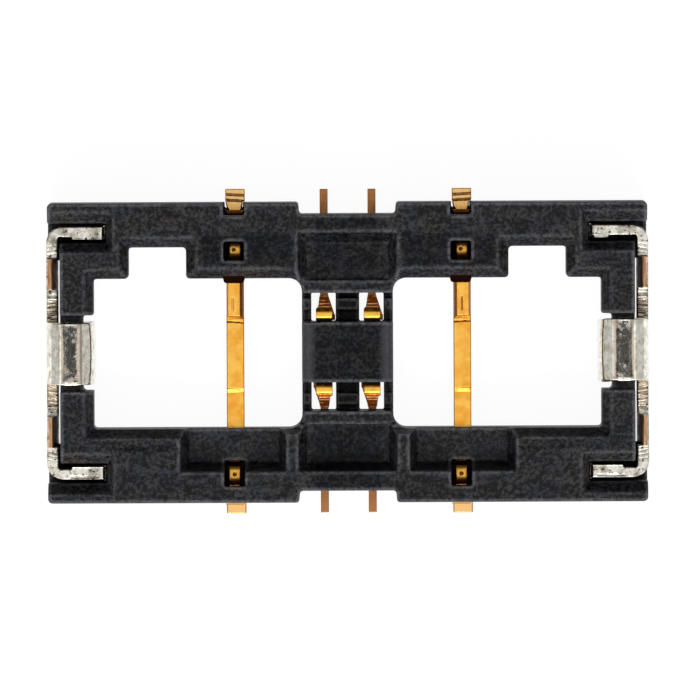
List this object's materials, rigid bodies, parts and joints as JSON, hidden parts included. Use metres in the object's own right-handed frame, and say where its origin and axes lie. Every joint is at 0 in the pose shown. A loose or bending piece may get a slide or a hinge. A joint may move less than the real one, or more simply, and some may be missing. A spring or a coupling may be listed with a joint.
{
  "type": "flexible printed circuit connector",
  "caption": "Low board-side battery connector: black moulded frame with two windows and a middle island, gold bar and spring contacts, and tin-plated end brackets.",
  "frame": {"origin": "on the board plane, under the middle of the part, midway between the tips of the front and rear solder feet", "axes": "+X along the moulding to the right end bracket, +Y to the rear side with the two polarising notches, +Z away from the board towards the mating plug"},
  "size_m": [0.006, 0.0032, 0.0008],
  "materials": {
    "black_lcp": "moulded black liquid crystal polymer, satin, faintly mottled by its glass filler",
    "gold_plated_copper_alloy": "thin gold plating on rolled copper alloy strip, satin",
    "tin_plated_copper_alloy": "tin plating on copper alloy sheet, rubbed and mottled, with bare copper on the cut edges"
  },
  "bodies": {
    "root": {"housing": "black_lcp", "power_contact_left": "gold_plated_copper_alloy", "power_contact_right": "gold_plated_copper_alloy", "signal_contact_rear_left": "gold_plated_copper_alloy", "signal_contact_rear_right": "gold_plated_copper_alloy", "signal_contact_front_left": "gold_plated_copper_alloy", "signal_contact_front_right": "gold_plated_copper_alloy", "end_bracket_left": "tin_plated_copper_alloy", "end_bracket_right": "tin_plated_copper_alloy"}
  },
  "joints": []
}
